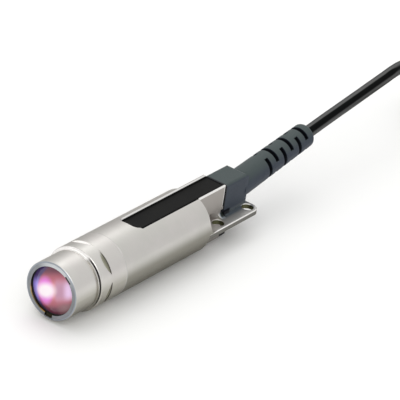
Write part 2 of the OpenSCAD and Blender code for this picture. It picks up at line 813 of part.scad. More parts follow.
// Two slots that face each other, cut down to the core around the cable
module relief_slot_pair(turn) {
    outside = relief_d;
    half = slot_half_angle;
    reach = outside / cos(half / 2);
    linear_extrude(slot_w, center = true) for (side = [0, 180]) rotate(side + turn) difference() {
        polygon([[0, 0], [reach * cos(half), -reach * sin(half)], [reach, -reach * sin(half / 2)],
            [reach, reach * sin(half / 2)], [reach * cos(half), reach * sin(half)]]);
        circle(r = relief_core_r);
    }
}

// The way of the fibre through the boot block, wide enough for its bend
module fibre_channel() {
    half = 0.9;
    end_y = boot_y - crimp_back * cos(relief_tilt);
    end_z = relief_z - crimp_back * sin(relief_tilt);
    translate([-half, 0, 0]) rotate([90, 0, 90]) linear_extrude(2 * half) polygon([
        [block_y - past, -half], [block_y - past, half], [end_y + past / 2, end_z + half],
        [end_y + past / 2, end_z - half], [block_y + 2, -half]]);
}

module crimp_sleeve() {
    color([0.75, 0.74, 0.72]) in_head() on_relief() translate([0, 0, -crimp_back]) difference() {
        cylinder(r = crimp_r, h = crimp_len - fit);
        translate([0, 0, -past]) cylinder(r = bore_r, h = crimp_len + 2 * past);
    }
}

// Cable: a tube along its free route, a flat round coil, and a tube to the plug

function unit(v) = v / norm(v);

// Direction of a route at one of its points
function heading(points, i) = unit(points[min(i + 1, len(points) - 1)] - points[max(i - 1, 0)]);

// Points of one ring around a route
function ring_points(at, ahead, radius) =
    let (across = unit(cross(ahead, [0, 0, 1])), up = cross(across, ahead))
    [for (k = [0:cable_sides - 1]) let (a = 360 * (k + 0.5) / cable_sides)
        at + radius * (cos(a) * across + sin(a) * up)];

module swept_tube(points, radius) {
    n = cable_sides;
    last = len(points) - 1;
    corners = [for (i = [0:last]) each ring_points(points[i], heading(points, i), radius)];
    sides = [for (i = [0:last - 1]) for (k = [0:n - 1])
        [i * n + k, i * n + (k + 1) % n, (i + 1) * n + (k + 1) % n, (i + 1) * n + k]];
    polyhedron(points = corners,
        faces = concat([[for (k = [n - 1:-1:0]) k]], sides, [[for (k = [0:n - 1]) last * n + k]]));
}

module fibre_cable() {
    color([0.10, 0.10, 0.11]) swept_tube(lead_points, cable_d / 2);
}

// The outer shape of the coil, with short ends that the two tubes meet
module cable_coil() {
    last = len(lead_points) - 1;
    down = unit(lead_points[last] - lead_points[last - 1]);
    color([0.10, 0.10, 0.11]) {
        translate([coil_center[0], coil_center[1], 0]) rotate_extrude()
            translate([coil_start_r - cable_d / 2, 0])
                square([coil_end_r - coil_start_r + cable_d, cable_d]);
        translate(lead_points[last]) rotate([atan2(-down[1], down[2]), 0, 0])
            cylinder(d = cable_d, h = 1.5 * cable_d);
        translate(tail_points[0]) rotate([-90, 0, 0])
            cylinder(d = cable_d, h = coil_center[1] - tail_points[0][1]);
    }
}

module cable_tail() {
    color([0.10, 0.10, 0.11]) swept_tube(tail_points, cable_d / 2);
}

// Plug: drawn along Z from its cable end, then laid with its tip toward -Y

module in_plug() {
    translate(plug_at) rotate([90, 0, 0]) children();
}

module plug_boot() {
    r1 = bore_r + 0.5;
    r2 = plug_d / 2 - 0.4;
    ribs = 3;
    color([0.09, 0.09, 0.10]) in_plug() difference() {
        rotate_extrude() polygon([[bore_r, 0], [r1, 0], [r2, plug_boot_len - 2], [r2, plug_boot_len],
            [plug_spigot_r + fit, plug_boot_len], [plug_spigot_r + fit, plug_boot_len - plug_spigot_len],
            [bore_r, plug_boot_len - plug_spigot_len]]);
        for (i = [0:ribs - 1])
            translate([0, 0, 1.5 + 1.5 * i]) rotate_extrude()
                translate([r1 + (r2 - r1) * (0.25 + 0.2 * i), 0]) square([1, 0.6]);
    }
}

module plug_body() {
    r = plug_d / 2;
    from = plug_boot_len;
    to = from + plug_len;
    cup_from = from + plug_cup_y;
    bevel = 0.3;
    key_w = 1.2;
    color([0.74, 0.73, 0.71]) in_plug() difference() {
        rotate_extrude() polygon([[bore_r, from - plug_spigot_len + fit],
            [plug_spigot_r, from - plug_spigot_len + fit], [plug_spigot_r, from],
            [r - bevel, from], [r, from + bevel], [r, to - bevel],
            [r - bevel, to], [plug_cup_r, to], [plug_cup_r, cup_from], [bore_r, cup_from]]);
        for (i = [0:plug_grooves - 1])
            translate([0, 0, from + 1.2 + 0.8 * i]) rotate_extrude()
                translate([r - 0.15, 0]) square([1, 0.4]);
        translate([-key_w / 2, plug_cup_r - past, to - 3]) cube([key_w, r, 3 + past]);
    }
}

module plug_ferrule_flange() {
    from = plug_boot_len + plug_cup_y;
    color([0.70, 0.70, 0.69]) in_plug() difference() {
        translate([0, 0, from]) cylinder(r = plug_cup_r - fit, h = 2);
        translate([0, 0, from + 0.4]) cylinder(d = plug_ferrule_d + 2 * fit, h = 2);
        translate([0, 0, from - past]) cylinder(d = fibre_d, h = 2);
    }
}

module plug_ferrule() {
    r = plug_ferrule_d / 2;
    from = plug_boot_len + plug_cup_y + 0.4;
    to = plug_boot_len + plug_len + plug_ferrule_out;
    color([0.95, 0.94, 0.90]) in_plug() rotate_extrude()
        polygon([[0, from], [r, from], [r, to - 0.25], [r - 0.25, to], [0, to]]);
}

front_barrel();
lens_retaining_ring();
front_lens_seal();
front_lens();
front_spacer();
second_lens();
middle_spacer();
third_lens();
rear_spacer();
fourth_lens();
barrel_o_ring();
housing();
relay_lock_ring();
relay_tube();
relay_retaining_ring();
diffractive_lens();
diffractive_spacer();
collimator_front_lens();
collimator_spacer();
collimator_rear_lens();
fibre_ferrule();
ferrule_holder();
holder_set_screw();
buffered_fibre();
label_plate();
cable_boot();
crimp_sleeve();
fibre_cable();
cable_coil();
cable_tail();
plug_boot();
plug_body();
plug_ferrule_flange();
plug_ferrule();
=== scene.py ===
"""Looks of a pen-type confocal displacement sensor head: finishes, fibre cable, studio and camera.

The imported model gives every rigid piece. This file dresses them, lays the fibre cable along its
route, and sets the head in a plain pale studio, seen from the photograph's side.
All lengths are in metres unless a name or a docstring says millimetres.
"""

import logging
import math
from dataclasses import dataclass
from enum import Enum
from functools import reduce
from typing import Protocol

import bmesh
import bpy
from mathutils import Matrix, Vector


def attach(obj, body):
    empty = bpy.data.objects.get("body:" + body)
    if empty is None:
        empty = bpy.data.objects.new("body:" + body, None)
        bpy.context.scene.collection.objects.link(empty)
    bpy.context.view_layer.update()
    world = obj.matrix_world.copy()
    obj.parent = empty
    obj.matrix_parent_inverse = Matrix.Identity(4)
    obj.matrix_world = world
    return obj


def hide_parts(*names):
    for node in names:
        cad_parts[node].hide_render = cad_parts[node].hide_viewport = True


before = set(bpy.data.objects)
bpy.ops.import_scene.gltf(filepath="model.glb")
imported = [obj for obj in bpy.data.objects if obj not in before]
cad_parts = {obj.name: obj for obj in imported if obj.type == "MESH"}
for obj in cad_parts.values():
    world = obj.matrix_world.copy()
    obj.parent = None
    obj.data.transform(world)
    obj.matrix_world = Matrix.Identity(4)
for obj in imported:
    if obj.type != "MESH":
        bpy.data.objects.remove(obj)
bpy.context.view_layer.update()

MM = 0.001
LENS_END_Y = -37.537 * MM
AXIS_Z = 6 * MM
JOINT_MM = 13.5
SEAM_HALF = 0.12 * MM
BODY = "root"

log = logging.getLogger("sensor_head")

Colour = tuple[float, float, float]
Point = tuple[float, float, float]
Span = tuple[float, float]
Limit = tuple[float, float]  # a level, and how far around it the zone fades
Socket = bpy.types.NodeSocket
Value = Socket | float
Layer = tuple[Socket, Socket | Colour]


def behind_lens(distance_mm: float) -> float:
    """Returns the Y place of something that lies a distance in millimetres behind the lens end."""
    return LENS_END_Y + distance_mm * MM


def placed(thing: bpy.types.Object) -> bpy.types.Object:
    """Puts a new object in the scene, and returns it."""
    bpy.context.scene.collection.objects.link(thing)
    return thing


class Pattern(Enum):
    """How a metal surface was turned, which sets the direction of its fine marks."""

    TURNED = "rings around the optical axis, along the barrel"
    FACED = "rings around the optical axis, on a flat face"


class Shader:
    """A material with one Principled shader, and short ways to add the nodes of its pattern."""

    def __init__(self, name: str) -> None:
        """Makes the material and its shader.

        Args:
            name: the material's name.
        """
        self.material = bpy.data.materials.new(name)
        self.material.use_nodes = True
        self.tree = self.material.node_tree
        self.tree.nodes.clear()
        self.surface = self.node("BsdfPrincipled")
        self.node("OutputMaterial", Surface=self.surface.outputs["BSDF"])
        self.place = self.node("TexCoord").outputs["Object"]

    def feed(self, target: Socket, value: Value | Point) -> None:
        """Links an output to an input, or gives the input a plain value."""
        if isinstance(value, Socket):
            self.tree.links.new(value, target)
        else:
            target.default_value = value

    def fill(self, node: bpy.types.Node, inputs: dict[str, Value | Point]) -> None:
        """Feeds several inputs of a node, by their names with spaces written as underscores."""
        for name, value in inputs.items():
            self.feed(node.inputs[name.replace("_", " ")], value)

    def node(self, kind: str, **inputs: Value | Point) -> bpy.types.Node:
        """Adds a node.

        Args:
            kind: Blender's name of the node type, without the part that all share.
            inputs: what its inputs get, with spaces written as underscores.

        Returns:
            The node.
        """
        node = self.tree.nodes.new("ShaderNode" + kind)
        self.fill(node, inputs)
        return node

    def give(self, **inputs: Value | Point) -> None:
        """Feeds the shader's own inputs, with spaces written as underscores."""
        self.fill(self.surface, inputs)

    def operation(self, family: str, kind: str, *values: Value | Point) -> bpy.types.Node:
        """Adds one step of arithmetic.

        Args:
            family: the node type, for numbers or for vectors.
            kind: Blender's name of the operation.
            values: what it works on.

        Returns:
            The node.
        """
        node = self.node(family)
        node.operation = kind
        for socket, value in zip(node.inputs, values):
            self.feed(socket, value)
        return node

    def arith(self, kind: str, *values: Value) -> Socket:
        """The output of one step of arithmetic with numbers."""
        return self.operation("Math", kind, *values).outputs[0]

    def minus(self, a: Value, b: Value) -> Socket:
        """The first value less the second."""
        return self.arith("SUBTRACT", a, b)

    def size(self, value: Socket) -> Socket:
        """A value without its sign."""
        return self.arith("ABSOLUTE", value)

    def sum_of(self, *terms: tuple[Value, float]) -> Socket:
        """Adds values, each of them times its factor.

        Args:
            terms: pairs of a value and its factor.

        Returns:
            The output with the sum.
        """
        total = self.arith("MULTIPLY", *terms[0])
        for value, factor in terms[1:]:
            total = self.arith("ADD", total, self.arith("MULTIPLY", value, factor))
        return total

    def stretched(self, scale: Point | float, move: Point = (0, 0, 0)) -> Socket:
        """Object coordinates, moved and then stretched.

        Args:
            scale: factor along each axis, or one factor for all.
            move: place that becomes the pattern's origin.

        Returns:
            The output with the new coordinates.
        """
        factors = scale if isinstance(scale, tuple) else (scale,) * 3
        start = [-m * f for m, f in zip(move, factors)]
        return self.node("Mapping", Vector=self.place, Scale=factors, Location=start).outputs["Vector"]

    def axes(self, where: Socket | None = None) -> list[Socket]:
        """Splits coordinates into X, Y and Z: the object's own, unless others are given."""
        node = self.node("SeparateXYZ", Vector=self.place if where is None else where)
        return list(node.outputs)

    def facing_up(self) -> Socket:
        """How far the surface faces up, from -1 to 1."""
        return self.axes(self.node("NewGeometry").outputs["Normal"])[2]

    def distance(self, where: Socket) -> Socket:
        """Distance of coordinates from their origin."""
        return self.operation("VectorMath", "LENGTH", where).outputs["Value"]

    def radius(self) -> Socket:
        """Distance from the optical axis."""
        return self.distance(self.stretched((1, 0, 1), (0, 0, AXIS_Z)))

    def noise(self, fineness: Point | float, detail: float = 2, rough: float = 0.5) -> Socket:
        """A noise field from 0 to 1.

        Args:
            fineness: marks per metre, along each axis or along all.
            detail: how many finer layers it has.
            rough: how strong those layers are.

        Returns:
            The output with the field.
        """
        where = self.stretched(fineness)
        return self.node("TexNoise", Vector=where, Scale=1, Detail=detail, Roughness=rough).outputs["Fac"]

    def rings(self, fineness: float) -> Socket:
        """A noise field in rings around the optical axis, with a number of marks per metre."""
        node = self.node("TexNoise")
        node.noise_dimensions = "1D"
        self.fill(node, {"W": self.radius(), "Scale": fineness, "Detail": 2})
        return node.outputs["Fac"]

    def spread(self, value: Socket, low: float, high: float, to_low: float = 0, to_high: float = 1) -> Socket:
        """Maps a range of values smoothly onto another.

        Args:
            value: what is mapped.
            low: lower end of the old range.
            high: upper end of the old range.
            to_low: what the lower end becomes.
            to_high: what the upper end becomes.

        Returns:
            The output with the mapped value.
        """
        node = self.node("MapRange", Value=value, From_Min=low, From_Max=high, To_Min=to_low, To_Max=to_high)
        node.interpolation_type = "SMOOTHSTEP"
        return node.outputs["Result"]

    def above(self, value: Socket, level: float, soft: float = 0.02 * MM) -> Socket:
        """A zone where a value is above a level, with a soft border."""
        return self.spread(value, level - soft, level + soft)

    def below(self, value: Socket, level: float, soft: float = 0.02 * MM) -> Socket:
        """A zone where a value is below a level, with a soft border."""
        return self.spread(value, level - soft, level + soft, 1, 0)

    def near(self, value: Socket, level: float, half: float) -> Socket:
        """A zone on both sides of a level, fading out at a half width."""
        return self.spread(self.size(self.minus(value, level)), 0.5 * half, half, 1, 0)

    def all_of(self, *zones: Socket) -> Socket:
        """The zone that all these zones share."""
        return reduce(lambda a, b: self.arith("MULTIPLY", a, b), zones)

    def any_of(self, *zones: Socket) -> Socket:
        """The zone that these zones cover together."""
        return reduce(lambda a, b: self.arith("MAXIMUM", a, b), zones)

    def blend(self, share: Socket, first: Socket | Colour, second: Socket | Colour) -> Socket:
        """Mixes two colours.

        Args:
            share: 0 gives the first and 1 the second.
            first: a colour or an output.
            second: a colour or an output.

        Returns:
            The output with the mixed colour.
        """
        node = self.node("Mix")
        node.data_type = "RGBA"
        self.feed(node.inputs[0], share)
        sockets = [s for s in node.inputs if s.type == "RGBA"]
        for socket, value in zip(sockets, (first, second)):
            self.feed(socket, value if isinstance(value, Socket) else (*value, 1))
        return next(s for s in node.outputs if s.type == "RGBA")

    def paint(self, tone: Socket, *layers: Layer) -> Socket:
        """Lays colours over a tone, one after the other.

        Args:
            tone: the colour below.
            layers: pairs of a zone and the colour that it gets.

        Returns:
            The output with the painted colour.
        """
        for zone, colour in layers:
            tone = self.blend(zone, tone, colour)
        return tone

    def relief(self, height: Socket, depth: float, strength: float, base: Socket | None = None) -> Socket:
        """Adds fine relief to the surface.

        Args:
            height: the field that is raised.
            depth: height of the relief.
            strength: how strongly it shows.
            base: an earlier relief that this one adds to.

        Returns:
            The output with the bent normal.
        """
        node = self.node("Bump", Height=height, Distance=depth, Strength=strength)
        if base is not None:
            self.feed(node.inputs["Normal"], base)
        return node.outputs["Normal"]


class Finish(Protocol):
    """Anything that can build a material."""

    def material(self) -> bpy.types.Material:
        """Builds the material.

        Returns:
            The material.
        """


@dataclass(frozen=True)
class WorkedSteel:
    """Satin metal with the fine marks of how it was worked, and painted shade where it faces down."""

    name: str
    colour: Colour
    shade: Colour
    roughness: Span
    pattern: Pattern
    marks_per_metre: float = 7000
    mark_depth: float = 0.000004
    milled_behind: float | None = None
    grazing: Colour = (0.38, 0.375, 0.36)
    # Painted shade: a darker tone blended in where the surface faces down, fading over the span on the next
    # line.
    underside_shade: Colour | None = (0.33, 0.32, 0.285)
    under: Span = (-0.05, 0.38)

    def zones(self, shader: Shader, tone: Socket) -> Socket:
        """Changes the colour at single places. Plain steel has none."""
        return tone

    def gloss(self, shader: Shader) -> Value:
        """How metallic the surface is, from 0 to 1. Plain steel is so all over."""
        return 1.0

    def marks(self, shader: Shader) -> Socket:
        """The field of the fine marks, which are even in all directions where the piece was milled."""
        if self.pattern is Pattern.FACED:
            lines = shader.rings(self.marks_per_metre)
        else:
            lines = shader.noise((60, self.marks_per_metre, 60), 3, 0.65)
        if self.milled_behind is None:
            return lines
        milled = shader.above(shader.axes()[1], self.milled_behind, 0.2 * MM)
        mix = shader.node("Mix")
        for index, value in zip((0, 2, 3), (milled, lines, shader.noise(5200, 3, 0.6))):
            shader.feed(mix.inputs[index], value)
        return mix.outputs[0]

    def material(self) -> bpy.types.Material:
        """Builds the metal."""
        shader = Shader(self.name)
        lines = self.marks(shader)
        cloud = shader.noise(140, 4, 0.6)
        tone = shader.blend(shader.spread(cloud, 0.3, 0.7), self.colour, self.shade)
        # Painted shade on the parts that face down.
        if self.underside_shade is not None:
            under = shader.spread(shader.facing_up(), *self.under, 1, 0)
            tone = shader.blend(under, tone, self.underside_shade)
        uneven = shader.arith("ADD", lines, cloud)
        shader.give(
            Base_Color=self.zones(shader, tone),
            Specular_Tint=(*self.grazing, 1),
            Metallic=self.gloss(shader),
            Roughness=shader.spread(uneven, 0.7, 1.3, *self.roughness),
            Normal=shader.relief(lines, self.mark_depth, 0.5),
        )
        return shader.material


@dataclass(frozen=True)
class FrontBarrelSteel(WorkedSteel):
    """Turned steel with painted shade in its notches and groove at the sides and bottom, a painted highlight
    in them on top, and a cool front face.

    A cut is given by where it starts and ends behind the lens end, and by its outer radius, all in
    millimetres.
    """

    notch: Point = (8.2, 9.38, 5.95)
    groove: Point = (6.09, 6.36, 5.56)
    collar: Point = (5.84, 6.36, 5.9)
    # Where the cuts get painted shade: beyond this X on the side, and below this Z.
    side_x: Limit = (2.7 * MM, 0.7 * MM)
    bottom_z: Limit = (5 * MM, 1 * MM)
    wall_half: float = 0.08 * MM
    rim_r: Limit = (5.79 * MM, 0.05 * MM)
    face_y: Limit = (behind_lens(0.06), 0.03 * MM)
    # Painted shade where the surface faces down.
    underside_shade: Colour = (0.49, 0.475, 0.43)
    # Painted light in the cuts: shade on the notch floors, the notches' rear walls and in the groove at the
    # sides and bottom, and a highlight in them on top.
    notch_floor_shade: Colour = (0.34, 0.335, 0.26)
    notch_wall_shade: Colour = (0.36, 0.35, 0.28)
    deep_shade: Colour = (0.05, 0.04, 0.055)
    painted_shine: Colour = (0.98, 0.965, 0.95)
    seam: Colour = (0.57, 0.56, 0.54)
    face: Colour = (0.34, 0.37, 0.41)

    def zones(self, shader: Shader, tone: Socket) -> Socket:
        """Paints shade in the notches and the groove behind the collar at the sides and bottom, a highlight
        in them on top, and cools the front face.

        Args:
            shader: the material being built.
            tone: the colour of the steel.

        Returns:
            The colour with these places.
        """
        y = shader.axes()[1]
        radius = shader.radius()
        shade_sides = self._painted_shade_sides(shader)
        _, notch_end, notch_r = self.notch
        wall = shader.all_of(
            shader.near(y, behind_lens(notch_end), self.wall_half), shader.below(radius, notch_r * MM), shade_sides
        )
        rim = shader.above(radius, *self.rim_r)
        return shader.paint(
            tone,
            # Painted highlight on top, painted shade at the sides and bottom.
            (self._cut(shader, self.notch), shader.blend(shade_sides, self.painted_shine, self.notch_floor_shade)),
            (self._groove(shader), shader.blend(shade_sides, self.painted_shine, self.deep_shade)),
            (wall, shader.blend(rim, self.notch_wall_shade, self.deep_shade)),
            (shader.near(y, behind_lens(JOINT_MM), SEAM_HALF), self.seam),
            (shader.below(y, *self.face_y), self.face),
        )

    def gloss(self, shader: Shader) -> Value:
        """Matt in the notches and the groove, and metallic elsewhere."""
        return shader.minus(1.0, shader.any_of(self._cut(shader, self.notch), self._groove(shader)))

    def _painted_shade_sides(self, shader: Shader) -> Socket:
        """The sides and the bottom, where the cuts get painted shade."""
        x, _, z = shader.axes()
        return shader.any_of(shader.above(x, *self.side_x), shader.below(z, *self.bottom_z))

    def _groove(self, shader: Shader) -> Socket:
        """The zone of the groove, with the collar and the shoulder's wall on top."""
        top = shader.minus(1.0, self._painted_shade_sides(shader))
        collar = shader.all_of(top, self._cut(shader, self.collar))
        return shader.any_of(self._cut(shader, self.groove), collar)

    def _cut(self, shader: Shader, place: Point) -> Socket:
        """The zone inside a cut round the barrel."""
        start, end, outer = place
        y = shader.axes()[1]
        return shader.all_of(
            shader.above(y, behind_lens(start - 0.02)),
            shader.below(y, behind_lens(end + 0.02)),
            shader.below(shader.radius(), outer * MM),
        )


@dataclass(frozen=True)
class HousingSteel(WorkedSteel):
    """Milled steel with painted highlights on its edges and the label channel's walls, and painted shade on
    the plate's side, in the corner by the boot's foot, in the label channel and in the screw holes, with a
    painted reflection of the boot on the plate.

    Names with _out are distances from the middle plane.
    """

    milled_behind: float = behind_lens(38)
    # Painted highlight on the edges of the block and the plate and on the label channel's walls.
    edge_highlight: Colour = (0.95, 0.94, 0.92)
    block_tone: Colour = (0.42, 0.395, 0.375)
    # Painted shade on the side and end faces of the plate.
    plate_side_shade: Colour = (0.215, 0.21, 0.195)
    seam: Colour = (0.57, 0.555, 0.54)
    # Painted shade, near black, in the corner between the plate and the boot's foot.
    corner_shade: Colour = (0.03, 0.036, 0.033)
    # Painted reflection of the boot on the plate beside its foot, bluish.
    boot_reflection: Colour = (0.36, 0.41, 0.46)
    # Painted shade, black, at the foot of the label channel's walls and beside the label on the +X side.
    film: Colour = (0.012, 0.012, 0.012)
    # Painted shade on the walls of the plate's screw holes.
    hole_shade: Colour = (0.10, 0.10, 0.055)
    block_out: float = 2.58 * MM
    plate_out: float = 5.36 * MM
    plate_end_y: float = behind_lens(54.4)
    side_z: Limit = (4.9 * MM, 0.03 * MM)
    foot_out: float = 2.52 * MM
    foot_z: Limit = (5.6 * MM, 1.5 * MM)
    boot_reflection_out: Limit = (3.5 * MM, 0.45 * MM)
    boot_reflection_y: Limit = (7.8 * MM, 0.2 * MM)
    corner_shade_out: Limit = (3.2 * MM, 0.3 * MM)
    corner_shade_y: Limit = (8.65 * MM, 0.9 * MM)
    # Places of the painted highlights along the edges.
    block_edge_out: Limit = (2.44 * MM, 0.16 * MM)
    top_edge_z: Limit = (11.33 * MM, 0.34 * MM)
    back_edge_y: Limit = (8.66 * MM, 0.34 * MM)
    back_edge_z: float = 6.9 * MM
    plate_edge_z: Limit = (4.98 * MM, 0.15 * MM)
    side_edge_out: Limit = (5.4 * MM, 0.22 * MM)
    end_edge_y: Limit = (15.4 * MM, 0.2 * MM)
    label_face_z: float = 11 * MM
    label_half: float = 1.8 * MM
    channel_flare: float = 0.72
    channel_y: float = behind_lens(20.2)
    wall_r: Limit = (5.96 * MM, 0.015 * MM)
    # Reach of the painted black shade at the channel walls' foot and beside the label.
    wall_shade_rise: float = 0.3 * MM
    edge_shade_x: Span = (2.5 * MM, 2.36 * MM)
    edge_shade_inner_x: float = 1.5 * MM
    corner_slope: float = 0.9
    corner_reach: float = 0.95 * MM
    hole_x: float = 3.65 * MM
    hole_mid_y: float = 10.639 * MM
    hole_gap: float = 9.05 * MM
    hole_r: float = 1.1 * MM

    def zones(self, shader: Shader, tone: Socket) -> Socket:
        """Tones the block, paints shade on the plate's side, in the corner by the boot and in the screw
        holes, paints a reflection of the boot on the plate, and paints highlights on edges.

        Args:
            shader: the material being built.
            tone: the colour of the steel.

        Returns:
            The colour with these places.
        """
        x, y, z = shader.axes()
        out = shader.size(x)
        rear = shader.above(y, self.milled_behind + 0.02 * MM)
        rim = shader.any_of(shader.above(out, self.plate_out), shader.above(y, self.plate_end_y))
        foot = shader.all_of(shader.above(out, self.foot_out), shader.near(z, *self.foot_z))
        # Painted reflection of the boot on the plate.
        boot_reflection = shader.all_of(shader.below(out, *self.boot_reflection_out), shader.above(y, *self.boot_reflection_y))
        # Painted shade in the corner by the boot's foot.
        corner_shade = shader.all_of(shader.near(y, *self.corner_shade_y), shader.below(out, *self.corner_shade_out))
        block_edge = shader.near(out, *self.block_edge_out)
        plate_edge = shader.near(z, *self.plate_edge_z)
        # Painted highlights along the block's top and back edges and the plate's edges.
        highlight_edges = shader.any_of(
            shader.all_of(block_edge, shader.near(z, *self.top_edge_z)),
            shader.all_of(block_edge, shader.near(y, *self.back_edge_y), shader.above(z, self.back_edge_z)),
            shader.all_of(shader.near(out, *self.side_edge_out), plate_edge),
            shader.all_of(shader.above(y, *self.end_edge_y), plate_edge),
        )
        # Painted shade on the plate's side and in the corner by the boot, a painted reflection of the boot,
        # and the painted highlights.
        tone = shader.paint(
            tone,
            (shader.near(y, behind_lens(JOINT_MM), SEAM_HALF), self.seam),
            (shader.all_of(rear, shader.below(out, self.block_out)), self.block_tone),
            (shader.all_of(rear, rim, shader.below(z, *self.side_z)), self.plate_side_shade),
            (shader.all_of(foot, boot_reflection), self.boot_reflection),
            (shader.all_of(foot, corner_shade), self.corner_shade),
            (shader.all_of(rear, highlight_edges), self.edge_highlight),
        )
        # Painted shade in the screw holes.
        return shader.blend(self._holes(shader), self._channel(shader, tone), self.hole_shade)

    def _holes(self, shader: Shader) -> Socket:
        """The zone of the walls of the plate's four holes."""
        x, y, _ = shader.axes()
        aside = shader.minus(shader.size(x), self.hole_x)
        along = shader.minus(shader.size(shader.minus(y, self.hole_mid_y)), self.hole_gap / 2)
        place = shader.node("CombineXYZ", X=aside, Y=along).outputs[0]
        return shader.below(shader.distance(place), self.hole_r + 0.02 * MM, 0.01 * MM)

    def _channel(self, shader: Shader, tone: Socket) -> Socket:
        """Paints a highlight on the label channel's walls, and paints shade black at their foot and beside
        the label on the +X side.

        Args:
            shader: the material being built.
            tone: the colour of the steel.

        Returns:
            The colour with the channel's places.
        """
        x, y, z = shader.axes()
        slope = shader.sum_of((shader.size(x), 1), (z, -self.channel_flare))
        foot = self.label_half - self.channel_flare * self.label_face_z
        walls = shader.all_of(
            shader.below(slope, foot + 0.05 * MM),
            shader.below(shader.radius(), *self.wall_r),
            shader.above(y, self.channel_y),
            shader.above(z, self.label_face_z - 0.5 * MM),
        )
        # Painted shade at the foot of the channel walls.
        low_walls = shader.all_of(walls, shader.below(z, self.label_face_z + self.wall_shade_rise, 0.03 * MM))
        edge_x = shader.spread(shader.above(y, self.milled_behind), 0, 1, *self.edge_shade_x)
        corner = shader.sum_of((y, 1), (x, -self.corner_slope))
        # Painted shade beside the label on the +X side.
        beside = shader.all_of(
            shader.above(x, self.edge_shade_inner_x),
            shader.below(shader.minus(x, edge_x), 0),
            shader.above(corner, self.channel_y - self.corner_reach),
            shader.above(z, self.label_face_z),
        )
        # Painted highlight on the walls, painted black shade at their foot and beside the label.
        return shader.paint(tone, (walls, self.edge_highlight), (shader.any_of(low_walls, beside), self.film))


@dataclass(frozen=True)
class LensRingSteel(WorkedSteel):
    """Faced steel with painted shade in its opening and notches, a painted amber reflection at the opening's
    lower left, and a painted highlight on its face.
    """

    underside_shade: Colour | None = None
    wall_r: float = 4.53 * MM
    wall_y: Limit = (behind_lens(0.05), 0.03 * MM)
    notch_y: Limit = (behind_lens(0.16), 0.06 * MM)
    line_half: float = 0.14 * MM
    # Painted highlight on the face, centred at the turn on the next line.
    painted_glint: Colour = (0.60, 0.62, 0.64)
    glint_turn: float = 82.0
    # Painted reflection on the opening's wall and inner rim at the lower left, in the zone set by the next
    # two lines.
    amber: Colour = (0.62, 0.42, 0.13)
    amber_x: Limit = (0.2 * MM, 0.6 * MM)
    amber_z: Limit = (5.2 * MM, 1.2 * MM)
    # Painted reflection along the inner rim at the lower left.
    line: Colour = (0.17, 0.16, 0.06)
    # Painted shade on the opening's wall and in the notches.
    olive_shade: Colour = (0.035, 0.033, 0.02)

    def zones(self, shader: Shader, tone: Socket) -> Socket:
        """Paints shade on the opening's wall and in the notches, with an amber reflection at the lower left,
        and paints a highlight on the face at one turn of the ring.

        Args:
            shader: the material being built.
            tone: the colour of the steel.

        Returns:
            The colour with these places.
        """
        x, y, z = shader.axes()
        radius = shader.radius()
        turn = math.radians(self.glint_turn)
        toward = shader.sum_of((x, math.cos(turn)), (shader.minus(z, AXIS_Z), math.sin(turn)))
        patch = shader.spread(shader.noise(700), 0.35, 0.6)
        amber = shader.all_of(shader.below(x, *self.amber_x), shader.below(z, *self.amber_z))
        wall = shader.all_of(shader.below(radius, self.wall_r), shader.above(y, *self.wall_y))
        line = shader.all_of(shader.near(radius, self.wall_r, self.line_half), amber)
        # Painted highlight on the face, painted shade with a painted reflection on the wall and rim, painted
        # shade in the notches.
        return shader.paint(
            tone,
            (shader.spread(shader.arith("DIVIDE", toward, radius), 0.6, 1.05), self.painted_glint),
            (wall, shader.blend(shader.all_of(patch, amber), self.olive_shade, self.amber)),
            (line, shader.blend(patch, self.line, self.amber)),
            (shader.above(y, *self.notch_y), self.olive_shade),
        )


@dataclass(frozen=True)
class MouldedRubber:
    """Moulded elastomer, plastic or film with a fine grain."""

    name: str
    colour: Colour
    shade: Colour
    roughness: Span = (0.5, 0.62)
    grain_per_metre: float = 9000
    grain_depth: float = 0.000012
    specular: float = 0.4

    def zones(self, shader: Shader, tone: Socket) -> Socket:
        """Changes the colour at single places. Plain rubber has none."""
        return tone

    def skin(self, shader: Shader) -> None:
        """Adds a glossy skin. Plain rubber has none."""

    def material(self) -> bpy.types.Material:
        """Builds the rubber."""
        shader = Shader(self.name)
        grain = shader.noise(self.grain_per_metre, 3, 0.6)
        cloud = shader.noise(180, 4, 0.6)
        tone = shader.blend(shader.spread(cloud, 0.3, 0.72), self.colour, self.shade)
        waves = shader.relief(cloud, 0.00006, 0.25)
        shader.give(
            Base_Color=self.zones(shader, tone),
            Specular_IOR_Level=self.specular,
            Roughness=shader.spread(grain, 0.35, 0.65, *self.roughness),
            Normal=shader.relief(grain, self.grain_depth, 0.45, waves),
        )
        self.skin(shader)
        return shader.material


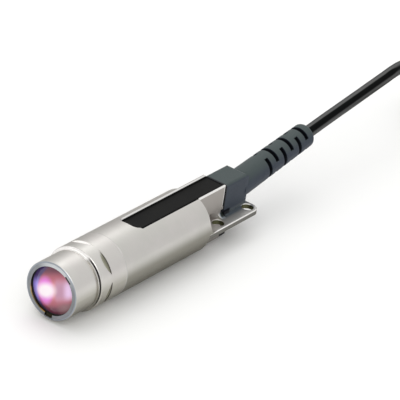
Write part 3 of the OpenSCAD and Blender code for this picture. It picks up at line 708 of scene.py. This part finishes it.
@dataclass(frozen=True)
class SlateElastomer(MouldedRubber):
    """The boot's slate elastomer, with painted light on top, a painted reflection of the plate low on its
    sides, painted shade in black in the slots, at its front rim and under the plate, and black low front
    ears.
    """

    # Painted light: the top is paler where it faces up.
    top: Colour = (0.056, 0.072, 0.073)
    # Painted reflection of the plate on the lower sides.
    low: Colour = (0.09, 0.105, 0.115)
    # Black for the painted shade in the slots, at the front rim and under the plate, and for the ears.
    black: Colour = (0.004, 0.005, 0.008)
    side_out: float = 2.4 * MM
    plate_reflection_z: Limit = (5.6 * MM, 0.35 * MM)
    front_edge_y: Limit = (behind_lens(46.77), 0.08 * MM)
    ear_end_y: Limit = (behind_lens(48.67), 0.25 * MM)
    ear_z: Limit = (5.25 * MM, 0.1 * MM)
    foot_z: float = 5.9 * MM
    lip_z: Limit = (4.04 * MM, 0.03 * MM)
    relief_start: Point = (0, behind_lens(53.55), 7.8 * MM)
    relief_tilt: float = 8.5
    relief_taper: float = 0.0117
    slot_r: Limit = (2.44 * MM, 0.06 * MM)
    slot_span: Span = (6.5 * MM, 20.3 * MM)

    def zones(self, shader: Shader, tone: Socket) -> Socket:
        """Paints light on the top and a reflection of the plate low on the sides, paints shade black in the
        slots, at the front rim and under the plate, and blackens the ears.

        Args:
            shader: the material being built.
            tone: the colour of the sides.

        Returns:
            The colour with these places.
        """
        x, y, z = shader.axes()
        side = shader.above(shader.size(x), self.side_out)
        low_front = shader.all_of(shader.below(z, self.foot_z), shader.below(y, *self.ear_end_y))
        ear = shader.all_of(side, low_front, shader.above(z, *self.ear_z))
        front = shader.below(y, *self.front_edge_y)
        # Painted shade in the slots, at the front rim and under the plate, and the black ears.
        black = shader.any_of(ear, front, shader.below(z, *self.lip_z), self._slots(shader))
        return shader.paint(
            tone,
            (shader.spread(shader.facing_up(), 0.2, 0.9), self.top),
            (shader.all_of(side, shader.below(z, *self.plate_reflection_z)), self.low),
            (black, self.black),
        )

    def _slots(self, shader: Shader) -> Socket:
        """The zone inside the slots, which lies under the surface of the tapered relief."""
        tilt = math.radians(self.relief_tilt)
        along = (0, math.cos(tilt), math.sin(tilt))
        local = shader.stretched(1, self.relief_start)
        across = shader.operation("VectorMath", "CROSS_PRODUCT", local, along).outputs[0]
        far = shader.operation("VectorMath", "DOT_PRODUCT", local, along).outputs["Value"]
        grown = shader.sum_of((shader.distance(across), 1), (far, self.relief_taper))
        first, last = self.slot_span
        return shader.all_of(
            shader.below(grown, *self.slot_r), shader.above(far, first), shader.below(far, last)
        )


@dataclass(frozen=True)
class CableJacket(MouldedRubber):
    """The smooth jacket: near black, with a satin skin that shines along its flanks."""

    skin_ior: float = 2.0
    skin_roughness: float = 0.36
    skin_weight: float = 0.6

    def skin(self, shader: Shader) -> None:
        """Adds the satin skin, which is dull where it is seen straight on and at its outline."""
        slant = shader.node("LayerWeight").outputs["Facing"]
        flank = shader.spread(slant, 0.335, 0.41, 0, self.skin_weight)
        shader.give(
            Coat_IOR=self.skin_ior,
            Coat_Roughness=self.skin_roughness,
            Coat_Weight=shader.all_of(flank, shader.spread(slant, 0.55, 0.78, 1, 0)),
        )


@dataclass(frozen=True)
class CoatedGlass:
    """Front lens with an antireflection coating; its reflections are painted as colour bands from pale pink
    to violet, with a painted highlight left of its middle and the ring notch's painted shadow.

    Spots are given by their middle and half sizes, in millimetres on the lens.
    """

    name: str
    # Painted reflections in the coating; the first colour is the painted highlight.
    white_highlight: Colour = (1.0, 0.90, 0.95)
    magenta: Colour = (0.82, 0.22, 0.74)
    salmon: Colour = (0.74, 0.29, 0.34)
    rose: Colour = (0.44, 0.12, 0.16)
    dusk: Colour = (0.16, 0.045, 0.075)
    violet: Colour = (0.42, 0.33, 0.92)
    night: Colour = (0.075, 0.045, 0.15)
    ash: Colour = (0.29, 0.15, 0.165)
    mauve: Colour = (0.53, 0.28, 0.40)
    lilac: Colour = (0.88, 0.62, 0.90)
    # Painted shadow of the ring's notch.
    notch_shadow: Colour = (0.01, 0.01, 0.015)
    lean_across: float = 0.165
    lean_upward: float = 0.432
    # Spot of the painted magenta reflection, then spot of the painted highlight.
    magenta_reflection_spot: tuple[Span, Span] = ((-1.6, 0.0), (2.1, 2.9))
    core: tuple[Span, Span] = ((-1.35, 0.05), (2.6, 1.8))
    middle: tuple[Span, Span] = ((1.0, 0.0), (4.3, 4.7))
    notch_turn: float = 48.0

    def material(self) -> bpy.types.Material:
        """Paints reflections as colour bands across the lens, a highlight left of its middle and the shadow
        of the ring's notch.
        """
        shader = Shader(self.name)
        x, _, z = shader.axes(shader.stretched(1 / MM, (0, 0, AXIS_Z)))
        place = (shader.sum_of((x, 1), (z, self.lean_across)), shader.sum_of((z, 1), (x, -self.lean_upward)))
        across, upward = place
        height = shader.size(upward)
        ashen = shader.all_of(shader.spread(across, 0.2, 2.6), shader.spread(upward, -3.4, -1.9, 1, 0))
        fold = shader.all_of(shader.near(across, 2.2, 1.9), shader.spread(height, 0.8, 3.0, 1, 0))
        right = shader.all_of(shader.spread(across, 2.0, 3.6), shader.spread(height, 0.6, 2.4, 1, 0))
        left = shader.all_of(
            shader.spread(self._spot(shader, place, self.middle), 0.95, 1.09),
            shader.spread(across, -2.2, -0.6, 1, 0),
        )
        turn = math.radians(self.notch_turn)
        outward = shader.sum_of((x, math.cos(turn)), (z, math.sin(turn)))
        aside = shader.sum_of((z, math.cos(turn)), (x, -math.sin(turn)))
        # Painted shadow of the ring's notch.
        shadow = shader.all_of(shader.near(aside, 0.0, 1.5), shader.spread(outward, 3.86, 3.98))
        # Bands of painted reflection, then the painted highlight and the painted shadow.
        tone = shader.paint(
            shader.blend(shader.spread(height, 0.8, 2.6), self.salmon, self.rose),
            (shader.spread(height, 2.4, 4.0), self.dusk),
            (shader.spread(self._spot(shader, place, self.magenta_reflection_spot), 0.6, 1.15, 1, 0), self.magenta),
            (ashen, self.ash),
            (fold, self.mauve),
            (right, self.lilac),
            (left, shader.blend(shader.spread(height, 1.0, 3.2), self.violet, self.night)),
            (shader.spread(self._spot(shader, place, self.core), 0.4, 1.15, 1, 0), self.white_highlight),
            (shadow, self.notch_shadow),
        )
        shader.give(Base_Color=tone, Roughness=0.06, IOR=1.5, Specular_IOR_Level=0.35)
        shader.give(Coat_Weight=0.3, Coat_Roughness=0.03)
        return shader.material

    def _spot(self, shader: Shader, place: tuple[Socket, Socket], spot: tuple[Span, Span]) -> Socket:
        """Distance from an oval spot's middle, 1 on its outline.

        Args:
            shader: the material being built.
            place: the coordinates across and upward, in millimetres.
            spot: the spot's middle and its half sizes.

        Returns:
            The output with the distance.
        """
        node = shader.node("CombineXYZ")
        for socket, value, middle, half in zip(node.inputs, place, *spot):
            shader.feed(socket, shader.arith("DIVIDE", shader.minus(value, middle), half))
        return shader.distance(node.outputs[0])


@dataclass(frozen=True)
class ClearGlass:
    """Plain lens glass inside the head."""

    name: str
    tint: Colour = (0.86, 0.92, 0.95)
    pale: Colour = (0.93, 0.95, 0.97)

    def material(self) -> bpy.types.Material:
        """Builds the glass, with a faint tint."""
        shader = Shader(self.name)
        tone = shader.blend(shader.noise(300), self.tint, self.pale)
        shader.give(Base_Color=tone, Roughness=0.03, IOR=1.55, Transmission_Weight=1.0)
        return shader.material


@dataclass(frozen=True)
class SmoothSurface:
    """A plain smooth finish with faint clouds in its colour and gloss."""

    name: str
    colour: Colour
    shade: Colour
    roughness: Span
    metallic: float = 0.0
    fine_per_metre: float = 4000
    depth: float = 0.000004

    def material(self) -> bpy.types.Material:
        """Builds the finish."""
        shader = Shader(self.name)
        cloud = shader.noise(250, 3)
        shader.give(
            Base_Color=shader.blend(shader.spread(cloud, 0.3, 0.7), self.colour, self.shade),
            Metallic=self.metallic,
            Roughness=shader.spread(cloud, 0.3, 0.7, *self.roughness),
            Normal=shader.relief(shader.noise(self.fine_per_metre), self.depth, 0.4),
        )
        return shader.material


def dress(piece: bpy.types.Object, material: bpy.types.Material) -> None:
    """Gives a piece one finish all over.

    Args:
        piece: a CAD node's object or a new piece.
        material: the finish.
    """
    slots = piece.data.materials
    for index in range(len(slots)):
        slots[index] = material
    if not slots:
        slots.append(material)
    log.info("%s wears %s", piece.name, material.name)


def dress_nodes(finish: Finish, *names: str) -> None:
    """Gives CAD nodes one finish, which they share.

    Args:
        finish: the finish.
        names: the nodes' names.
    """
    material = finish.material()
    for name in names:
        dress(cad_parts[name], material)


@dataclass
class PhotoCamera:
    """The camera, fitted to points of the photograph. Lens and sensor are in millimetres."""

    yaw: float = 32.583
    pitch: float = 28.19
    roll: float = 8.526
    distance: float = 626.5 * MM
    aim: Point = (0, 2.463 * MM, AXIS_Z)
    slide_right: float = 1.693 * MM
    slide_up: float = 3.005 * MM
    lens: float = 315.0
    sensor: float = 36.0
    clip: Span = (0.05, 20)

    def build(self) -> None:
        """Places the camera."""
        yaw, pitch, roll = (math.radians(a) for a in (self.yaw, self.pitch, self.roll))
        flat = math.cos(pitch)
        ahead = Vector((-math.sin(yaw) * flat, math.cos(yaw) * flat, -math.sin(pitch)))
        level = Vector((math.cos(yaw), math.sin(yaw), 0))
        upright = level.cross(ahead)
        right = math.cos(roll) * level + math.sin(roll) * upright
        up = math.cos(roll) * upright - math.sin(roll) * level
        data = bpy.data.cameras.new("photo_camera")
        data.lens = self.lens
        data.sensor_width = self.sensor
        data.clip_start, data.clip_end = self.clip
        camera = placed(bpy.data.objects.new("photo_camera", data))
        place = Vector(self.aim) + right * self.slide_right + up * self.slide_up - ahead * self.distance
        turn = Matrix((right, up, -ahead)).transposed().to_4x4()
        camera.matrix_world = Matrix.Translation(place) @ turn
        bpy.context.scene.camera = camera


@dataclass
class FibreLead:
    """The fibre cable: out of the boot, over to its stored coil, and on to the plug.

    The route is in millimetres. The lead and the tail are Y and Z places at one X each.
    """

    diameter: float = 2.4 * MM
    length: float = 0.3
    exit: Point = (0, 37.2 * MM, 10.97 * MM)
    coil_center: Span = (10.8, 89.3)
    coil_start_r: float = 10.8
    coil_turns: float = 2.5
    coil_entry_rise: float = 0.32
    step_degrees: float = 22.5
    bevel_steps: int = 6
    knot_steps: int = 8
    tie_angle: float = 90.0
    tie_width: float = 4.0 * MM
    tie_thick: float = 0.25 * MM
    tie_gap: float = 0.1 * MM
    tie_lift: float = 0.02 * MM
    tie_round: float = 1.1 * MM
    tie_round_steps: int = 8
    lead_x: float = 0
    lead: tuple[Span, ...] = (
        (36, 10.79), (40, 11.38), (44, 11.94), (48, 12.46), (52, 12.98), (56, 13.5), (59.5, 13.97),
        (62.9, 14.42), (66.06, 14.84), (69, 14.9), (72, 14.27), (75, 12.8), (77.3, 10.87),
        (78.9, 8.8), (80.4, 6.73), (82.2, 4.95), (84.4, 3.4), (86.8, 2.25),
    )
    plug: tuple[str, ...] = ("plug_boot", "plug_body", "plug_ferrule_flange", "plug_ferrule")
    tail_x: float = 27.6
    tail: tuple[Span, ...] = (
        (86.2, 1.2), (83.1, 1.2), (80, 1.2), (77.5, 1.26), (75, 1.5), (72, 2), (69, 2.5), (66, 2.78),
        (63, 2.8), (60, 2.8),
    )

    def coil(self) -> list[Point]:
        """Points of the flat coil, in millimetres, from its inner start to its outer end.

        Returns:
            The points, the first of them still on the way down to the floor.
        """
        center_x, center_y = self.coil_center
        points = []
        for step in range(round(self.coil_turns * 360 / self.step_degrees) + 1):
            degrees = step * self.step_degrees
            angle = math.radians(degrees)
            radius = self.coil_start_r + self.diameter / MM * degrees / 360
            height = self.diameter / MM / 2 + (self.coil_entry_rise if step == 0 else 0)
            points.append((center_x - radius * math.cos(angle), center_y + radius * math.sin(angle), height))
        return points

    def curve(self, radius: float) -> bpy.types.Object:
        """Makes a smooth curve along the whole route.

        Args:
            radius: of the tube around it, or 0 for the bare line.

        Returns:
            The curve's object.
        """
        lead = [(self.lead_x, *place) for place in self.lead]
        tail = [(self.tail_x, *place) for place in self.tail]
        route = [Vector(place) * MM for place in [*lead, *self.coil(), *tail]]
        data = bpy.data.curves.new("cable_route", "CURVE")
        data.dimensions = "3D"
        data.bevel_depth = radius
        data.bevel_resolution = self.bevel_steps
        data.resolution_u = self.knot_steps
        data.use_fill_caps = True
        spline = data.splines.new("BEZIER")
        spline.bezier_points.add(len(route) - 1)
        for knot, place in zip(spline.bezier_points, route):
            knot.co = place
            knot.handle_left_type = knot.handle_right_type = "AUTO"
        return placed(bpy.data.objects.new("cable_route", data))

    def meshed(self, curve: bpy.types.Object) -> bpy.types.Mesh:
        """Turns a curve into a mesh, which it returns, and removes the curve."""
        bpy.context.view_layer.update()
        mesh = bpy.data.meshes.new_from_object(curve.evaluated_get(bpy.context.evaluated_depsgraph_get()))
        bpy.data.objects.remove(curve)
        return mesh

    def build(self) -> bpy.types.Object:
        """Returns:
            The cable's object.
        """
        middle = self.meshed(self.curve(0))
        bpy.data.meshes.remove(middle)
        tube = self.meshed(self.curve(self.diameter / 2))
        tube.name = "fibre_lead"
        for face in tube.polygons:
            face.use_smooth = True
        cable = placed(bpy.data.objects.new("fibre_lead", tube))
        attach(cable, BODY)
        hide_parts("fibre_cable", "cable_coil", "cable_tail")
        self.build_tie()
        return cable

    def build_tie(self) -> bpy.types.Object:
        """Makes the strap that holds the turns of the coil together.

        Returns:
            The strap's object.
        """
        first = self.coil_start_r * MM + self.diameter * self.tie_angle / 360
        margin = self.diameter / 2 + self.tie_gap
        inner = first - margin
        outer = first + math.floor(self.coil_turns) * self.diameter + margin
        low, high = self.tie_lift, self.diameter + self.tie_thick
        center_x, center_y = (c * MM for c in self.coil_center)
        middle = (center_x, center_y + (inner + outer) / 2, (low + high) / 2)
        shape = bmesh.new()
        bmesh.ops.create_cube(shape, size=1.0)
        bmesh.ops.scale(shape, vec=(self.tie_width, outer - inner, high - low), verts=shape.verts)
        bmesh.ops.translate(shape, vec=middle, verts=shape.verts)
        long_edges = [e for e in shape.edges if abs((e.verts[0].co - e.verts[1].co).x) > self.tie_width / 2]
        bmesh.ops.bevel(
            shape, geom=long_edges, offset=self.tie_round, segments=self.tie_round_steps, profile=0.5,
            affect="EDGES", material=-1,
        )
        ends = [f for f in shape.faces if abs(f.normal.x) > 0.9]
        bmesh.ops.delete(shape, geom=ends, context="FACES_ONLY")
        bmesh.ops.recalc_face_normals(shape, faces=shape.faces)
        bmesh.ops.solidify(shape, geom=shape.faces[:], thickness=self.tie_thick)
        bmesh.ops.recalc_face_normals(shape, faces=shape.faces)
        mesh = bpy.data.meshes.new("coil_tie")
        shape.to_mesh(mesh)
        shape.free()
        tie = placed(bpy.data.objects.new("coil_tie", mesh))
        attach(tie, BODY)
        weave = MouldedRubber(
            "strap_weave", (0.02, 0.02, 0.022), (0.035, 0.035, 0.037), (0.7, 0.85),
            grain_per_metre=2500, grain_depth=0.00006, specular=0.3,
        )
        dress(tie, weave.material())
        return tie

    def dress(self, cable: bpy.types.Object) -> None:
        """Gives the cable and its plug their finishes.

        Args:
            cable: the cable's object.
        """
        jacket = CableJacket(
            "cable_jacket", (0.001, 0.0015, 0.0015), (0.002, 0.0025, 0.0025), (0.3, 0.4),
            grain_per_metre=5000, grain_depth=0.000002, specular=0.04,
        )
        dress(cable, jacket.material())
        sleeve = MouldedRubber("plug_sleeve_rubber", (0.02, 0.02, 0.022), (0.03, 0.03, 0.032))
        nickel = SmoothSurface("nickel", (0.72, 0.70, 0.67), (0.66, 0.65, 0.62), (0.14, 0.26), 1.0)
        ceramic = SmoothSurface("white_ceramic", (0.86, 0.85, 0.81), (0.82, 0.81, 0.77), (0.12, 0.2))
        dress_nodes(sleeve, "plug_boot")
        dress_nodes(nickel, "plug_body", "plug_ferrule_flange")
        dress_nodes(ceramic, "plug_ferrule", "fibre_ferrule")


@dataclass
class Optics:
    """Lenses, spacers, rings and seals."""

    clear_lenses: tuple[str, ...] = (
        "second_lens", "third_lens", "fourth_lens", "diffractive_lens", "collimator_front_lens",
        "collimator_rear_lens",
    )
    black_parts: tuple[str, ...] = (
        "front_spacer", "middle_spacer", "rear_spacer", "relay_tube", "relay_retaining_ring",
        "diffractive_spacer", "collimator_spacer",
    )
    seals: tuple[str, ...] = ("front_lens_seal", "barrel_o_ring")

    def dress(self) -> None:
        """Gives each optical piece its finish."""
        black = SmoothSurface("black_anodised", (0.03, 0.03, 0.033), (0.045, 0.045, 0.05), (0.4, 0.5), 0.3)
        rubber = MouldedRubber("seal_rubber_black", (0.012, 0.012, 0.012), (0.02, 0.02, 0.02))
        dress_nodes(CoatedGlass("coated_lens_glass"), "front_lens")
        dress_nodes(ClearGlass("lens_glass_clear"), *self.clear_lenses)
        dress_nodes(black, *self.black_parts)
        dress_nodes(rubber, *self.seals)


@dataclass
class Barrel:
    """The machined metal: front barrel, lens ring, housing and the small metal parts inside."""

    bright_steel: Colour = (0.69, 0.675, 0.645)
    steel: Colour = (0.665, 0.64, 0.62)
    steel_shade: Colour = (0.625, 0.615, 0.585)
    ring: Colour = (0.31, 0.325, 0.345)
    ring_shade: Colour = (0.21, 0.22, 0.23)
    brass: Colour = (0.66, 0.50, 0.24)
    brass_shade: Colour = (0.60, 0.45, 0.21)

    def dress(self) -> None:
        """Gives each metal piece its finish."""
        turned, faced = Pattern.TURNED, Pattern.FACED
        front = FrontBarrelSteel("front_barrel_steel", self.bright_steel, self.steel, (0.32, 0.42), turned)
        house = HousingSteel("housing_steel", self.steel, self.steel_shade, (0.34, 0.44), turned)
        ring = LensRingSteel("lens_ring_steel", self.ring, self.ring_shade, (0.34, 0.44), faced, 9000)
        brass = WorkedSteel("turned_brass", self.brass, self.brass_shade, (0.25, 0.35), turned)
        oxide = SmoothSurface("black_oxide", (0.03, 0.03, 0.03), (0.05, 0.05, 0.05), (0.35, 0.45), 0.6)
        dress_nodes(front, "front_barrel")
        dress_nodes(house, "housing")
        dress_nodes(ring, "lens_retaining_ring", "relay_lock_ring", "crimp_sleeve")
        dress_nodes(brass, "ferrule_holder")
        dress_nodes(oxide, "holder_set_screw")


@dataclass
class RearEnd:
    """Label, cable boot and the buffered fibre inside it."""

    slate: Colour = (0.041, 0.051, 0.069)
    slate_shade: Colour = (0.036, 0.045, 0.061)
    film: Colour = (0.005, 0.005, 0.005)
    film_shade: Colour = (0.007, 0.007, 0.0065)

    def dress(self) -> None:
        """Gives each rear piece its finish."""
        slate = SlateElastomer(
            "slate_elastomer", self.slate, self.slate_shade, (0.5, 0.6),
            grain_per_metre=7000, grain_depth=0.00001, specular=0.2,
        )
        label = MouldedRubber(
            "label_film_black", self.film, self.film_shade, (0.45, 0.55),
            grain_per_metre=6000, grain_depth=0.000005, specular=0.06,
        )
        buffer = SmoothSurface("fibre_buffer_yellow", (0.72, 0.55, 0.12), (0.68, 0.5, 0.1), (0.3, 0.4))
        dress_nodes(slate, "cable_boot")
        dress_nodes(label, "label_plate")
        dress_nodes(buffer, "buffered_fibre")


@dataclass
class Softbox:
    """A large soft lamp that looks at the middle of the head."""

    name: str
    place: Point
    size: Span
    power: float
    aim: Point = (0, 0, AXIS_Z)

    def build(self) -> None:
        """Hangs the lamp."""
        data = bpy.data.lights.new(self.name, "AREA")
        data.shape = "RECTANGLE"
        data.size, data.size_y = self.size
        data.energy = self.power
        lamp = placed(bpy.data.objects.new(self.name, data))
        lamp.location = self.place
        away = Vector(self.place) - Vector(self.aim)
        lamp.rotation_mode = "QUATERNION"
        lamp.rotation_quaternion = away.to_track_quat("Z", "Y")


@dataclass
class Studio:
    """A plain pale floor, an even pale surround and soft lamps."""

    floor_size: float = 6.0
    floor_colour: Colour = (0.93, 0.93, 0.925)
    floor_shade: float = 0.99
    low_sky: Colour = (0.78, 0.775, 0.78)
    high_sky: Colour = (0.86, 0.86, 0.85)
    high_sky_from: float = 0.6
    lamps: tuple[Softbox, ...] = (
        Softbox("key_softbox", (-0.35, 0.25, 0.9), (0.9, 0.9), 3.2),
        Softbox("front_softbox", (0.35, -0.75, 0.7), (0.6, 0.5), 1.6),
    )

    def floor(self) -> None:
        """Lays the floor."""
        mesh = bpy.data.meshes.new("studio_floor")
        shape = bmesh.new()
        bmesh.ops.create_grid(shape, x_segments=1, y_segments=1, size=self.floor_size / 2)
        shape.to_mesh(mesh)
        shape.free()
        floor = placed(bpy.data.objects.new("studio_floor", mesh))
        shader = Shader("floor_paper")
        darker = tuple(self.floor_shade * c for c in self.floor_colour)
        tone = shader.blend(shader.noise(3), self.floor_colour, darker)
        shader.give(Base_Color=tone, Roughness=0.9, Specular_IOR_Level=0.1)
        mesh.materials.append(shader.material)

    def surround(self) -> None:
        """Lights the scene evenly from all round, paler overhead than at the horizon."""
        world = bpy.data.worlds.new("studio_surround")
        bpy.context.scene.world = world
        world.use_nodes = True
        nodes, links = world.node_tree.nodes, world.node_tree.links
        nodes.clear()
        where = nodes.new("ShaderNodeTexCoord")
        split = nodes.new("ShaderNodeSeparateXYZ")
        ramp = nodes.new("ShaderNodeMapRange")
        ramp.inputs["From Max"].default_value = self.high_sky_from
        mix = nodes.new("ShaderNodeMix")
        mix.data_type = "RGBA"
        for socket, tone in zip((s for s in mix.inputs if s.type == "RGBA"), (self.low_sky, self.high_sky)):
            socket.default_value = (*tone, 1)
        sky = nodes.new("ShaderNodeBackground")
        out = nodes.new("ShaderNodeOutputWorld")
        links.new(where.outputs["Generated"], split.inputs[0])
        links.new(split.outputs["Z"], ramp.inputs["Value"])
        links.new(ramp.outputs["Result"], mix.inputs[0])
        links.new(next(s for s in mix.outputs if s.type == "RGBA"), sky.inputs["Color"])
        links.new(sky.outputs["Background"], out.inputs["Surface"])

    def build(self) -> None:
        """Sets up the whole studio."""
        self.floor()
        self.surround()
        for lamp in self.lamps:
            lamp.build()
        bpy.context.scene.view_settings.view_transform = "Standard"


def main() -> None:
    """Builds the camera, the cable, the finishes and the studio, in that order."""
    logging.basicConfig(level=logging.INFO, format="%(name)s: %(message)s")
    PhotoCamera().build()
    lead = FibreLead()
    lead.dress(lead.build())
    Optics().dress()
    Barrel().dress()
    RearEnd().dress()
    Studio().build()


if __name__ == "__main__":
    main()
